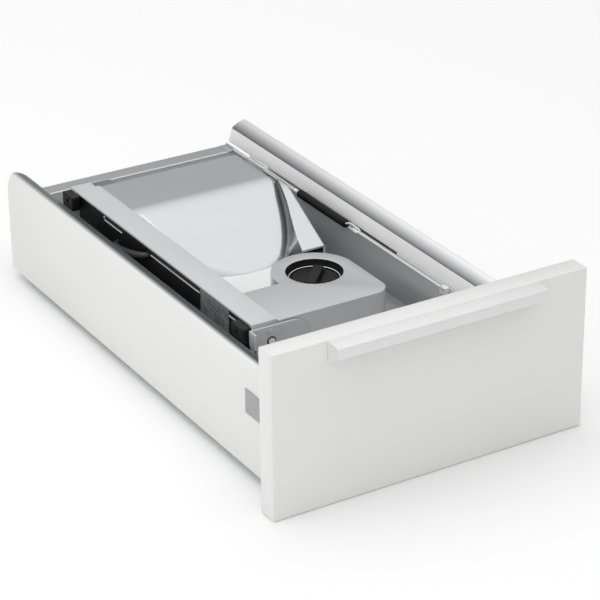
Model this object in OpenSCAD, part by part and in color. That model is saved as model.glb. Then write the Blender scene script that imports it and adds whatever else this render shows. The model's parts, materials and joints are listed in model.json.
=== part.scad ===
// Kitchen drawer with a fold-away food slicer lying in it.
// X runs across the drawer from its centreline, Y from front to back, Z up.
// The origin is the bottom centre of the whole object; lengths are in millimetres.
// Places along Y are given as distances behind the front face of the front panel (see at_y).
// Places across are given from the centreline. The slicer is drawn lying on its side.

/* [Front panel] */
// Width of the front panel
panel_w = 297; // [280:1:600]
// Height of the front panel
panel_h = 146; // [140:1:220]
// Thickness of the front panel
panel_t = 19.5; // [16:0.5:22]

/* [Handle] */
// Length of the lip handle
handle_w = 197; // [80:1:260]
// Reach of the handle in front of the panel
handle_out = 17.5; // [12:0.5:30]
// Height of the handle's front lip
handle_lip = 9.5; // [6:0.5:14]
// Thickness of the handle profile
handle_t = 2.4; // [2:0.1:3]
// Height of the flange that is screwed to the panel
handle_flange = 16; // [12:1:20]

/* [Drawer sides] */
// Length of the drawer sides
side_len = 500; // [470:5:600]
// Width over the outer faces of the drawer sides
drawer_w = 259.8; // [255:0.1:560]
// Height of the side's underside above the panel's bottom edge
side_lift = 7.7; // [6:0.1:12]
// Height of the drawer sides
side_h = 95.5; // [93:0.5:120]
// Sheet thickness of the drawer sides
side_t = 1.2; // [0.8:0.1:1.5]
// Width of a side from its outer face to its inner skin
side_depth = 27.4; // [27:0.1:29]
// Height of the inner skin's top edge below the side's crest
skin_drop = 20.2; // [19.5:0.1:24]
// Height of the shelf over the runners, above the side's underside
shelf_lift = 26.5; // [26:0.5:32]

/* [Floor and rear panel] */
// Thickness of the floor board
floor_t = 11; // [8:0.5:11]
// Thickness of the rear panel
rear_t = 18; // [12:0.5:19]
// Height of the rear panel's top edge above the side's underside
rear_h = 73.3; // [60:0.1:78]
// Width of the light lip along the rear panel's top
rear_lip_t = 1.5; // [1:0.1:3]

/* [Runners] */
// Width of a runner channel
rail_w = 18; // [16:0.5:20]
// Height of a runner channel
rail_h = 14; // [13:0.5:15]
// Sheet thickness of a runner channel
rail_t = 1.6; // [1.2:0.1:2]
// Play between a channel and the middle rail
rail_play = 0.3; // [0.2:0.05:0.4]
// Distance of a runner's middle from the drawer side's outer face
rail_inset = 16.4; // [15.5:0.1:16.6]
// Distance between the fixing holes of one runner
rail_hole_pitch = 352; // [224:32:416]
// Diameter of the fixing holes
rail_hole_d = 4.5; // [3.5:0.1:5]

/* [Slicer base] */
// Thickness of the slicer's base, across the drawer while it lies down
base_t = 24; // [20:0.5:28]
// Width of the base, upright while the slicer lies down
base_w = 76; // [70:1:76]
// Length of the base
base_len = 323; // [300:1:340]
// Distance of the base's underside from the centreline
base_x = 90; // [88:0.5:91]
// Distance of the base's front end behind the panel's front face
base_front = 133; // [125:1:145]
// Wall of the base casting
base_wall = 3; // [2:0.5:4]
// Height of the slicer's flat top above the panel's bottom edge
top_z = 100; // [98:0.5:101]
// Width of a rubber foot
foot_d = 14; // [10:1:16]
// Height of a rubber foot
foot_h = 8.4; // [5:0.1:8.5]

/* [Fold] */
// Distance of the fold axis from the base's underside
fold_in = 15.4; // [13:0.1:17]
// Distance of the fold axis below the flat top
fold_drop = 15.8; // [14:0.1:17]
// Radius of the fold pins
fold_pin_r = 3; // [2:0.1:4]
// Radial play of the fold pins in their bushes
fold_play = 0.05; // [0.02:0.01:0.1]
// Thickness of a swivel bracket
bracket_t = 2; // [1.5:0.1:3]
// Width of a swivel bracket
bracket_w = 58; // [50:1:66]
// Corner radius of a swivel bracket
bracket_r = 18; // [10:1:22]
// Gap between a bracket and the base's end
bracket_gap = 4; // [3:0.5:6]

/* [Blade and drive] */
// Radius of the blade
blade_r = 80; // [65:1:82]
// Thickness of the blade
blade_t = 1.6; // [1:0.1:2.5]
// Distance of the blade's axis from the centreline
blade_x = 1.5; // [-2:0.5:4]
// Distance of the blade's axis behind the panel's front face
blade_y = 340; // [335:1:345]
// Depth of the blade below the flat top
blade_drop = 43; // [42:0.5:44]
// Radius of the blade's shaft
shaft_r = 5; // [4:0.1:6]
// Tooth module of the gears
gear_m = 1; // [1:0.1:1]
// Teeth on the blade gear
blade_teeth = 36; // [36:4:36]
// Teeth on the idler gear
idler_teeth = 40; // [40:4:40]
// Teeth on the motor's pinion
pinion_teeth = 18; // [18:2:18]
// Width of the gears
gear_w = 3.5; // [2:0.1:3.6]
// Radius of the gear motor
motor_r = 24; // [16:1:25]
// Height of the gear motor
motor_h = 24; // [18:1:26]

/* [Motor housing] */
// Distance of the housing's right side from the centreline
housing_x = 83; // [78:0.5:84]
// Length of the housing's flat top
housing_flat = 73; // [60:1:78]
// Distance of the housing's rear end behind the panel's front face
housing_back = 455; // [452:0.5:458]
// Wall of the housing
housing_wall = 2.4; // [2:0.1:2.4]
// Fall of the slice chute for each millimetre towards the front
chute_slope = 0.506; // [0.5:0.001:0.52]
// Fall of the right-hand rib for each millimetre towards the front
rib_slope = 0.354; // [0.3:0.001:0.4]
// Width of the right-hand rib
rib_w = 22; // [16:0.5:26]
// Length of the right-hand rib along the slope
rib_run = 80; // [70:1:88]

/* [Thickness adjuster] */
// Distance of the adjuster housing's right side from the centreline
adjust_x = 45; // [30:0.5:48]
// Length of the adjuster housing
adjust_len = 59.5; // [50:0.5:64]
// Height of the adjuster housing
adjust_h = 25.5; // [25:0.5:26]
// Radius of the round lobe about the knob
lobe_r = 37.5; // [32:0.5:40]
// Distance of the knob's axis from the centreline
knob_x = 7.5; // [4:0.5:8]
// Distance of the knob's axis behind the panel's front face
knob_y = 195; // [190:1:198]
// Radius of the recess about the knob
recess_r = 25; // [23:0.5:27]
// Depth of the recess
recess_h = 17; // [14:0.5:18]
// Radius of the knob
knob_r = 21; // [18:0.5:22]
// Depth of the knob's face below the rim of the recess
knob_drop = 5.6; // [4:0.1:8]
// Travel of the stop plate
stop_travel = 14; // [8:1:14]
// Thickness of the stop plate
stop_t = 2.5; // [2:0.1:3]
// Distance of the stop plate's right edge from the centreline
stop_x = 88; // [80:0.5:89]

/* [Carriage] */
// Width of the carriage table
table_w = 99; // [80:1:102]
// Length of the carriage table
table_len = 260; // [200:5:280]
// Thickness of the carriage table
table_t = 3; // [2:0.1:3.5]
// Radius of the table's hinge pin
hinge_pin_r = 1.6; // [1.2:0.1:1.8]
// Length of the food carriage
tray_len = 150; // [120:5:160]
// Height of the food carriage's walls
tray_h = 18; // [10:1:20]

/* [Balance spring] */
// Radius of the tension spring
spring_r = 3.5; // [2.5:0.1:3.6]
// Length of the tension spring
spring_len = 82; // [60:1:100]
// Radius of the spring's rods
rod_r = 1.1; // [0.8:0.1:1.4]
// Distance of the spring's rear end behind the panel's front face
spring_back = 373; // [340:1:390]

/* [Hidden] */
$fn = 48;

total_len = handle_out + panel_t + side_len;
front_y = handle_out - total_len / 2;
back_y = front_y + panel_t + side_len;
side_front = panel_t;
side_x = drawer_w / 2;
crest_z = side_lift + side_h;
skin_x = side_x - side_depth;
skin_top = crest_z - skin_drop;
shelf_z = side_lift + shelf_lift;
floor_z = side_lift + side_t;
floor_top = floor_z + floor_t;
cut = 1;

// The side's outline, from the return at its foot round the crest to the inner lip.
foot_return = 5;
band_start = 19;
crest_in = 5.6;
rail_top_w = 14.5;
rail_top_fall = 6.4;
lip_in = 4;
lip_fall = 13;
bend_steps = 8;

rail_x = side_x - rail_inset;
rail_front = 24;
rail_len = side_len - 24;
middle_w = rail_w - 2 * (rail_t + rail_play);
middle_z = rail_t + 1;
middle_h = shelf_z - rail_t - 1 - middle_z;
head_d = 8;

base_left = -base_x;
base_right = base_left + base_t;
base_low = top_z - base_w;
base_back = base_front + base_len;
cover_inset = 1.4;
cover_t = 2;
bar_t = 1.8;
heel_len = 11;
heel_w = 20;
heel_h = 30;
foot_len = 20;
foot_drop = 2;
foot_low = 9;
foot_r = 1.5;
foot_screw_r = 2.6;
foot_screw_depth = 2.5;
fold_x = base_left + fold_in;
fold_z = top_z - fold_drop;
bush_r = fold_pin_r + fold_play;
bush_out_r = 4.3;
bracket_left = base_left - 4.7;
bracket_top = top_z - 2;
tab_h = 14;
tab_in = 6;
bracket_flange = 8;
front_bracket_y = base_front - bracket_gap - bracket_t;
rear_bracket_y = base_back + heel_len + bracket_gap / 2;
pin_depth = 10;
pin_head_r = 4.2;
pin_head_t = 1.2;
lock_r = 3;
lock_head_r = 6;
lock_z = 56;
lock_x = base_left + 9;

blade_z = top_z - blade_drop;
chassis_t = 2.4;
chassis_z = blade_z + 1.5;
chassis_front = 318;
gear_z = chassis_z + chassis_t + 0.8;
shaft_play = 0.05;
blade_gear_r = gear_m * blade_teeth / 2;
idler_gear_r = gear_m * idler_teeth / 2;
pinion_r = gear_m * pinion_teeth / 2;
idler_y = blade_y + blade_gear_r + idler_gear_r;
motor_y = idler_y + idler_gear_r + pinion_r;
motor_z = gear_z + gear_w + 2;
motor_shaft_r = 2.5;
idler_pin_r = 3;
blade_hub_r = 12;
blade_screw_r = 1.5;
blade_screw_circle = 8.5;

chute_start = housing_back - housing_flat;
housing_low = chassis_z;
chute_run = (top_z - housing_low) / chute_slope;
rib_start = chute_start - 16;
rib_front = rib_start - rib_run;
rib_end_z = top_z - rib_run * rib_slope;
rib_left = housing_x - rib_w;

adjust_top = top_z - 0.5;
adjust_low = adjust_top - adjust_h;
adjust_front = base_front - 2.5;
adjust_wall = 2.5;
adjust_corner = 15;
cup_floor = 2.5;
knob_shaft_r = 4;
knob_play = 0.06;
grip_w = 12;
grip_turn = 47;
knob_face_z = adjust_top - knob_drop;
knob_t = 7;
ring_w = 1.6;
stop_top = blade_z - 2;
stop_front = adjust_front + 1;
stop_gap = 1.6;
stop_back_gap = 2;
post_r = 4;
post_play = 0.06;
post_places = [[-36, 160], [34, 148]];
post_top = stop_top + 25;
button_r = 3.5;
button_y = 166;
button_z = adjust_low + 6;
button_play = 0.1;

hinge_x = base_right + 5.5;
hinge_z = base_low + 3;
knuckle_r = 2.8;
table_front = 165;
hinge_play = 0.05;
knuckle_len = 24;
tray_front = table_front + 6;
tray_t = 2;
tray_z = hinge_z + table_t / 2 + 0.4;
tray_left = hinge_x + 10;
tray_w = table_w - 22;
guide_w = 4;
guide_h = 1.6;
guide_play = 0.3;

rod_x = skin_x - side_t - 2.4;
rod_z = skin_top + 1.4;
rod_front = 137;
hook_len = 12;
lead_r = 3;
// Points of the mains lead: across, behind the panel's face, up.
lead_points = [[-86, 374, 80], [-88.8, 374, 80], [-91.6, 372.6, 80.1], [-93.8, 368.8, 80.4],
    [-94.8, 362, 81], [-95, 352, 82.4], [-95, 341, 84.6], [-94.8, 331, 87], [-93.8, 323.5, 88.8],
    [-91.6, 319.2, 89.6], [-88.8, 317.6, 89.8], [-86, 317.6, 89.8]];
lead_ends = [lead_points[0], lead_points[len(lead_points) - 1]];
gland_play = 0.5;
gland_r = lead_r + 1;

function at_y(d) = front_y + d;

// Point on a quadratic curve from a to c pulled towards b.
function bend(a, b, c, t) = (1 - t) * (1 - t) * a + 2 * t * (1 - t) * b + t * t * c;
function bend_path(a, b, c, n) = [for (i = [1:n]) bend(a, b, c, i / n)];

function unit(v) = v / norm(v);
function left_of(v) = [-v[1], v[0]];

// Normal at point i of an open path, lengthened at corners so that the wall stays even.
function path_normal(p, i) =
    let (
        before = i > 0 ? unit(p[i] - p[i - 1]) : unit(p[1] - p[0]),
        after = i < len(p) - 1 ? unit(p[i + 1] - p[i]) : before,
        middle = unit(left_of(before) + left_of(after))
    ) middle / (middle * left_of(before));

// Outline of a strip of thickness t to the left of an open path.
function strip(p, t) = concat(p, [for (i = [len(p) - 1:-1:0]) p[i] + t * path_normal(p, i)]);

// Extrudes an outline drawn in X and Z from the distance front to the distance back.
module along(front, back) {
    translate([0, at_y(back), 0]) rotate([90, 0, 0]) linear_extrude(back - front) children();
}

// Block between two corners; x across, d behind the panel's face, z up.
module block(x, d, z) {
    translate([x[0], at_y(d[0]), z[0]]) cube([x[1] - x[0], d[1] - d[0], z[1] - z[0]]);
}

// Rod of radius r along Y between two distances behind the panel's face.
module rod(x, d, z, r) {
    translate([x, at_y(d[0]), z]) rotate([-90, 0, 0]) cylinder(h = d[1] - d[0], r = r);
}

// Upright post at x and at distance d behind the panel's face.
module post(x, d, z, r) {
    translate([x, at_y(d), z[0]]) cylinder(h = z[1] - z[0], r = r);
}

module on_side(s) {
    if (s < 0) mirror([1, 0, 0]) children();
    else children();
}

module rail_channel() {
    difference() {
        translate([-rail_w / 2, 0]) square([rail_w, rail_h]);
        translate([-rail_w / 2 + rail_t, rail_t]) square([rail_w - 2 * rail_t, rail_h]);
    }
}

module cabinet_rail(s) {
    color("silver") on_side(s) difference() {
        along(rail_front, rail_front + rail_len) translate([rail_x, 0]) rail_channel();
        for (k = [-1, 1])
            post(rail_x, rail_front + rail_len / 2 + k * rail_hole_pitch / 2, [-cut, rail_t + cut],
                rail_hole_d / 2);
    }
}

module middle_rail(s) {
    color("gainsboro") on_side(s) along(rail_front, rail_front + rail_len)
        translate([rail_x - middle_w / 2, middle_z]) difference() {
            square([middle_w, middle_h]);
            translate([rail_t, rail_t]) square([middle_w - 2 * rail_t, middle_h - 2 * rail_t]);
        }
}

module drawer_rail(s) {
    color("silver") on_side(s) along(rail_front, rail_front + rail_len)
        translate([rail_x, shelf_z]) mirror([0, 1]) rail_channel();
}

function side_path() =
    let (
        foot = [side_x, side_lift],
        band = [side_x, crest_z - band_start],
        crest = [side_x - crest_in, crest_z],
        inner = crest - [rail_top_w, rail_top_fall],
        lip = inner - [lip_in, lip_fall]
    ) concat([foot - [foot_return, 0], foot], [band],
        bend_path(band, [side_x, crest_z - band_start / 3], crest, bend_steps),
        bend_path(crest, [crest[0] - rail_top_w / 2, crest_z - 0.6], inner, bend_steps), [lip]);

module side(s) {
    color("white") on_side(s) along(side_front, side_front + side_len)
        polygon(strip(side_path(), side_t));
}

module inner_skin(s) {
    color("lightgray") on_side(s) along(side_front, side_front + side_len) union() {
        translate([skin_x, side_lift]) square([side_t, skin_top - side_lift]);
        translate([skin_x, shelf_z]) square([side_depth - side_t, side_t]);
        translate([skin_x - 10, side_lift]) square([10 + side_t, side_t]);
    }
}

module floor_panel() {
    color("gray") block([-skin_x, skin_x], [side_front, side_front + side_len - rear_t],
        [floor_z, floor_top]);
}

module rear_panel() {
    color("gray") block([-skin_x, skin_x],
        [side_front + side_len - rear_t, side_front + side_len],
        [floor_z, side_lift + rear_h - rear_lip_t]);
}

module rear_lip() {
    color("silver") block([-skin_x + 7, skin_x - 7],
        [side_front + side_len - rear_t, side_front + side_len],
        [side_lift + rear_h - rear_lip_t, side_lift + rear_h]);
}

module rear_corners() {
    color("black") for (s = [-1, 1]) on_side(s)
        block([skin_x - 7, skin_x], [side_front + side_len - rear_t, side_front + side_len],
            [side_lift + rear_h - rear_lip_t, side_lift + rear_h + 4]);
}

module front_panel() {
    color("white") block([-panel_w / 2, panel_w / 2], [0, panel_t], [0, panel_h]);
}

module handle() {
    color("silver") union() {
        block([-handle_w / 2, handle_w / 2], [-handle_out, 0], [panel_h - handle_t, panel_h]);
        block([-handle_w / 2, handle_w / 2], [-handle_out, handle_t - handle_out],
            [panel_h - handle_lip, panel_h]);
        block([-handle_w / 2, handle_w / 2], [-handle_t, 0],
            [panel_h - handle_t - handle_flange, panel_h]);
    }
}

fixing_w = 20;
fixing_len = 40;
fixing_t = 2;
fixing_screw_r = 2.5;

// Steel angles inside the sides that carry the front panel.
module front_fixings() {
    color("silver") for (s = [-1, 1]) on_side(s) difference() {
        union() {
            block([skin_x + side_t, skin_x + side_t + fixing_w],
                [side_front, side_front + fixing_t], [shelf_z + side_t, skin_top - 4]);
            block([skin_x + side_t, skin_x + side_t + fixing_t],
                [side_front, side_front + fixing_len], [shelf_z + side_t, skin_top - 4]);
        }
        for (k = [0, 1])
            rod(skin_x + side_t + fixing_w / 2, [side_front - cut, side_front + fixing_t + cut],
                shelf_z + 12 + 24 * k, fixing_screw_r);
    }
}

// Cap screws that join the angles to the front panel.
module fixing_screws() {
    color("dimgray") for (s = [-1, 1], k = [0, 1]) on_side(s)
        translate([skin_x + side_t + fixing_w / 2, at_y(side_front + fixing_t),
            shelf_z + 12 + 24 * k]) rotate([-90, 0, 0]) difference() {
                cylinder(h = 3, r = head_d / 2);
                translate([0, 0, 1]) cylinder(h = 3, r = 2, $fn = 6);
            }
}

cap_front = 26;
cap_len = 47.5;
cap_h = 22;
cap_z = 59;
cap_t = 0.8;

// Plastic covers over the front fixings on the outside of the drawer.
module side_caps() {
    color("lightgray") for (s = [-1, 1]) on_side(s)
        block([side_x, side_x + cap_t], [cap_front, cap_front + cap_len], [cap_z, cap_z + cap_h]);
}

// Outline of a swivel bracket, upright on the floor, with its round corner at the top.
module bracket_outline() {
    union() {
        translate([bracket_left, floor_top]) square([bracket_w - bracket_r, bracket_top - floor_top]);
        translate([bracket_left, floor_top]) square([bracket_w, bracket_top - bracket_r - floor_top]);
        translate([bracket_left + bracket_w - bracket_r, bracket_top - bracket_r])
            circle(r = bracket_r, $fn = 64);
    }
}

module swivel_bracket(front, flange) {
    difference() {
        union() {
            along(front, front + bracket_t) bracket_outline();
            block([bracket_left, bracket_left + bracket_t], flange,
                [bracket_top - tab_h, bracket_top - 0.5]);
            block([bracket_left, bracket_left + bracket_w], flange,
                [floor_top, floor_top + bracket_t]);
        }
        rod(fold_x, [front - cut, front + bracket_t + cut], fold_z, bush_out_r);
        block([bracket_left - cut, bracket_left + tab_in], [front - cut, front + bracket_t + cut],
            [floor_top + 8, bracket_top - tab_h]);
    }
}

module front_bracket() {
    color("silver") difference() {
        swivel_bracket(front_bracket_y, [front_bracket_y - bracket_flange, front_bracket_y]);
        rod(lock_x, [front_bracket_y - cut, front_bracket_y + bracket_t + cut], lock_z,
            lock_r + button_play);
    }
}

module rear_bracket() {
    back = rear_bracket_y + bracket_t + bracket_flange;
    color("silver") difference() {
        swivel_bracket(rear_bracket_y, [rear_bracket_y + bracket_t, back]);
        block([bracket_left - cut, base_left + 3], [rear_bracket_y - cut, back + cut],
            [floor_top + 8, bracket_top + cut]);
    }
}

// Steel pins fixed in the ends of the base; the slicer swings on them.
module fold_pins() {
    color("lightgray") union() {
        rod(fold_x, [front_bracket_y - 1, base_front + base_wall], fold_z, fold_pin_r);
        rod(fold_x, [base_back - base_wall, rear_bracket_y + bracket_t + 1], fold_z, fold_pin_r);
    }
}

module fold_bush(front) {
    difference() {
        rod(fold_x, [front, front + bracket_t], fold_z, bush_out_r);
        rod(fold_x, [front - cut, front + bracket_t + cut], fold_z, bush_r);
    }
}

module fold_bushes() {
    color("black") {
        fold_bush(front_bracket_y);
        fold_bush(rear_bracket_y);
    }
}

rivet_r = 2.6;
rivet_t = 0.8;

module bracket_rivets() {
    color("silver") {
        rod(fold_x - 1.2, [front_bracket_y - rivet_t, front_bracket_y], fold_z + 9, rivet_r);
        rod(fold_x - 1.2, [rear_bracket_y + bracket_t, rear_bracket_y + bracket_t + rivet_t],
            fold_z + 9, rivet_r);
    }
}

// Push pin in the front bracket that locks the slicer when it is pushed into the base.
module lock_plunger() {
    color("dimgray") union() {
        rod(lock_x, [front_bracket_y - 6, front_bracket_y + bracket_t + 2], lock_z, lock_r);
        rod(lock_x, [front_bracket_y - 12, front_bracket_y - 6], lock_z, lock_head_r);
    }
}

guide_drop = 3.5;

module guide_strip() {
    color("white") block([skin_x + side_t + 0.3, skin_x + side_t + 1.6], [side_front, 215],
        [skin_top - guide_drop, skin_top + 1.5]);
}

module balance_spring() {
    color("black") rod(rod_x, [spring_back - spring_len, spring_back], rod_z, spring_r);
}

module spring_ends() {
    color("white") {
        rod(rod_x, [spring_back, spring_back + hook_len], rod_z, rod_r + 0.8);
        rod(rod_x, [spring_back - spring_len - hook_len, spring_back - spring_len], rod_z,
            rod_r + 0.8);
    }
}

module front_rod() {
    color("silver") rod(rod_x, [rod_front, spring_back - spring_len - hook_len], rod_z, rod_r);
}

rear_rod_end = side_front + side_len - rear_t;

module rear_rod() {
    color("silver") union() {
        rod(rod_x, [spring_back + hook_len, rear_rod_end - rod_r], rod_z, rod_r);
        post(rod_x, rear_rod_end - rod_r, [rod_z - 14, rod_z], rod_r);
        translate([rod_x, at_y(rear_rod_end - rod_r), rod_z]) sphere(r = rod_r, $fn = 24);
    }
}

module rod_anchor() {
    color("silver") block([rod_x - 2, skin_x], [rod_front - 8, rod_front], [rod_z - 4, rod_z + 2.5]);
}

clip_t = 1.2;
clip_len = 32;
clip_front = 436;

// Spring clip on the inner skin that guides the rear rod.
module rod_clip() {
    color("silver") difference() {
        block([rod_x - rod_r - clip_t - 0.2, skin_x], [clip_front, clip_front + clip_len],
            [rod_z - 4, rod_z + 3]);
        block([rod_x - rod_r - 0.2, skin_x - clip_t],
            [clip_front - cut, clip_front + clip_len + cut], [rod_z - 2.8, rod_z + 5]);
    }
}

// The base casting: a long tray open on the side that is its underside in use.
module base_frame() {
    color("gainsboro") difference() {
        union() {
            block([base_left, base_right], [base_front, base_back], [base_low, top_z]);
            block([base_left, base_left + heel_w], [base_back - base_wall, base_back + heel_len],
                [top_z - heel_h, top_z]);
            for (d = hinge_lugs()) hinge_lug(d);
        }
        block([base_left - cut, base_right - base_wall],
            [base_front + base_wall, base_back - base_wall], [base_low + base_wall, top_z - bar_t]);
        block([base_right - 14, base_right + cut],
            [blade_y - blade_r + 12, blade_y + blade_r - 12], [blade_z - 4, chassis_z]);
        rod(hinge_x, [table_front - cut, table_front + table_len + cut], hinge_z, hinge_pin_r);
        rod(fold_x, [base_front - cut, base_front + base_wall + cut], fold_z, fold_pin_r);
        rod(fold_x, [base_back - base_wall - cut, base_back + heel_len + cut], fold_z,
            fold_pin_r);
        rod(lock_x, [base_front - cut, base_front + base_wall + cut], lock_z, lock_r + 0.4);
    }
}

function hinge_lugs() = [table_front, table_front + table_len - knuckle_len];

module hinge_lug(d) {
    rod(hinge_x, [d, d + knuckle_len], hinge_z, knuckle_r);
    block([base_right, hinge_x], [d, d + knuckle_len], [hinge_z - knuckle_r, hinge_z]);
}

module base_cover() {
    color("black") difference() {
        block([base_left + cover_inset, base_left + cover_inset + cover_t],
            [base_front + base_wall, base_back - base_wall], [base_low + base_wall, top_z - bar_t]);
        for (p = lead_ends) translate([base_left, at_y(p[1]), p[2]]) rotate([0, 90, 0])
            cylinder(h = 10, r = gland_r);
    }
}

foot_places = [[base_front, top_z - foot_drop - foot_d], [base_front, base_low + foot_low],
    [base_back + heel_len - foot_len, top_z - foot_drop - foot_d],
    [base_back - foot_len, base_low + foot_low]];

module base_feet() {
    color("black") for (p = foot_places) difference() {
        hull() for (d = [foot_r, foot_len - foot_r], z = [foot_r, foot_d - foot_r])
            translate([base_left - foot_h, at_y(p[0] + d), p[1] + z]) rotate([0, 90, 0])
                cylinder(h = foot_h, r = foot_r);
        translate([base_left - foot_h - cut, at_y(p[0] + foot_len / 2), p[1] + foot_d / 2])
            rotate([0, 90, 0]) cylinder(h = foot_screw_depth + cut, r = foot_screw_r);
    }
}

plate_t = 0.4;
plate_front = 173;
plate_len = 49;
plate_h = 34;
plate_top = top_z - bar_t - 0.4;

module rating_plate() {
    color("gray") block([base_left + cover_inset - plate_t, base_left + cover_inset],
        [plate_front, plate_front + plate_len], [plate_top - plate_h, plate_top]);
}

trim_t = 1;
trim_z = 91.8;
trim_parts = [[base_front + base_wall, plate_front - 1], [plate_front + plate_len + 1, 311],
    [366, 400]];

// Bright strips along the cover, broken at the rating plate and at the mains lead.
module base_trim() {
    color("white") for (d = trim_parts)
        block([base_left + 0.4, base_left + cover_inset], d, [trim_z, trim_z + trim_t]);
}

// One ring of the lead's tube, square to the local direction of its route.
function ring(p, i, r, n) =
    let (
        d = unit(p[min(i + 1, len(p) - 1)] - p[max(i - 1, 0)]),
        u = unit(cross(d, [0, 0, 1])),
        v = cross(d, u)
    ) [for (k = [0:n - 1]) p[i] + r * (cos(360 * k / n) * u + sin(360 * k / n) * v)];

module tube(p, r, n) {
    m = len(p);
    sides = [for (i = [0:m - 2], k = [0:n - 1])
        [i * n + k, i * n + (k + 1) % n, (i + 1) * n + (k + 1) % n, (i + 1) * n + k]];
    first = [[for (k = [n - 1:-1:0]) k]];
    last = [[for (k = [0:n - 1]) (m - 1) * n + k]];
    polyhedron(points = [for (i = [0:m - 1]) each ring(p, i, r, n)],
        faces = concat(sides, first, last), convexity = 4);
}

module mains_lead() {
    color("black") tube([for (p = lead_points) [p[0], at_y(p[1]), p[2]]], lead_r, 8);
}

module lead_gland() {
    color("black") for (p = lead_ends)
        translate([base_left + cover_inset, at_y(p[1]), p[2]]) rotate([0, 90, 0]) difference() {
            cylinder(h = cover_t, r = gland_r);
            translate([0, 0, -cut]) cylinder(h = cover_t + 2 * cut, r = lead_r + gland_play);
        }
}

// Side outline of the chute part of the housing, w inside its outer face.
module chute_outline(w) {
    slant = w * sqrt(1 + chute_slope * chute_slope);
    low = housing_low - (w > 0 ? cut : 0);
    front = chute_start - (top_z - slant - low) / chute_slope;
    polygon([[front, low], [housing_back - w, low], [housing_back - w, top_z - w],
        [chute_start + (slant - w) / chute_slope, top_z - w]]);
}

// Side outline of the rib, w inside its outer face.
module rib_outline(w) {
    low = housing_low - (w > 0 ? cut : 0);
    slant = w * sqrt(1 + rib_slope * rib_slope);
    polygon([[rib_front - (w > 0 ? cut : 0), low], [chute_start - w, low], [chute_start - w, top_z - w],
        [rib_start + (slant - w) / rib_slope, top_z - w],
        [rib_front - (w > 0 ? cut : 0), rib_end_z - slant - (w > 0 ? cut * rib_slope : 0)]]);
}

// Extrudes a side outline, drawn in Y and Z, across from x0 to x1.
module across(x0, x1) {
    translate([x0, front_y, 0]) rotate([90, 0, 90]) linear_extrude(x1 - x0) children();
}

module motor_housing() {
    color("silver") difference() {
        union() {
            across(base_right, housing_x) chute_outline(0);
            across(rib_left, housing_x) rib_outline(0);
        }
        across(base_right + housing_wall, housing_x - housing_wall) chute_outline(housing_wall);
        across(rib_left + housing_wall, housing_x - housing_wall) rib_outline(housing_wall);
    }
}

module housing_chassis() {
    color("dimgray") difference() {
        union() {
            block([base_right + housing_wall, housing_x - housing_wall - 0.2],
                [chassis_front, housing_back - housing_wall], [chassis_z, chassis_z + chassis_t]);
            for (x = [-40, 40]) post(blade_x + x, motor_y + 14, [chassis_z, motor_z], 4);
            post(blade_x, motor_y + 36, [chassis_z, motor_z], 4);
        }
        post(blade_x, blade_y, [chassis_z - cut, chassis_z + chassis_t + cut],
            shaft_r + shaft_play);
        post(blade_x, idler_y, [chassis_z - cut, chassis_z + chassis_t + cut], idler_pin_r);
    }
}

motor_flange_t = 2;

// Gear motor with its mounting flange; its output shaft points down to the gears.
module gear_motor() {
    color("gray") difference() {
        union() {
            post(blade_x, motor_y, [motor_z, motor_z + motor_h], motor_r);
            block([blade_x - 46, blade_x + 46], [motor_y + 8, motor_y + 20],
                [motor_z, motor_z + motor_flange_t]);
            block([blade_x - 6, blade_x + 6], [motor_y + 8, motor_y + 42],
                [motor_z, motor_z + motor_flange_t]);
        }
        post(blade_x, motor_y, [motor_z - cut, motor_z + 8], motor_shaft_r + shaft_play);
    }
}

// Involute gear outline: flank points by unwinding a string from the base circle.
pressure = 20;
backlash = 0.1;
flank_steps = 4;
function unwind(r) = let (c = min(1, r[0] / r[1]), a = acos(c)) tan(a) * 180 / PI - a;
function flank(z, rb, r, half) =
    let (a = half - unwind([rb, max(r, rb)])) a;
function gear_points(z) =
    let (
        rp = gear_m * z / 2,
        rb = rp * cos(pressure),
        ro = rp + 0.95 * gear_m,
        rr = rp - 1.2 * gear_m,
        rs = max(rr, rb),
        half = 90 / z - backlash / rp * 90 / PI + unwind([rb, rp]),
        radii = [for (i = [0:flank_steps]) rs + (ro - rs) * i / flank_steps]
    ) [for (t = [0:z - 1]) each concat(
        [polar(rr, 360 * t / z - flank(z, rb, rs, half))],
        [for (r = radii) polar(r, 360 * t / z - flank(z, rb, r, half))],
        [for (i = [flank_steps:-1:0]) polar(radii[i], 360 * t / z + flank(z, rb, radii[i], half))],
        [polar(rr, 360 * t / z + flank(z, rb, rs, half))])];
function polar(r, a) = r * [cos(a), sin(a)];

module gear(z, turn) {
    rotate([0, 0, turn]) linear_extrude(gear_w) polygon(gear_points(z));
}

module motor_pinion() {
    color("goldenrod") union() {
        translate([blade_x, at_y(motor_y), gear_z]) gear(pinion_teeth, 180 / pinion_teeth);
        post(blade_x, motor_y, [gear_z, motor_z + 7], motor_shaft_r);
    }
}

module idler_gear() {
    color("ivory") difference() {
        translate([blade_x, at_y(idler_y), gear_z]) gear(idler_teeth, 180 / idler_teeth);
        post(blade_x, idler_y, [gear_z - cut, gear_z + gear_w + cut], idler_pin_r + shaft_play);
    }
}

module idler_pin() {
    color("lightgray") union() {
        post(blade_x, idler_y, [chassis_z, gear_z + gear_w + 1], idler_pin_r);
        post(blade_x, idler_y, [gear_z + gear_w + 0.3, gear_z + gear_w + 1.5], idler_pin_r + 2);
    }
}

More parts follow.
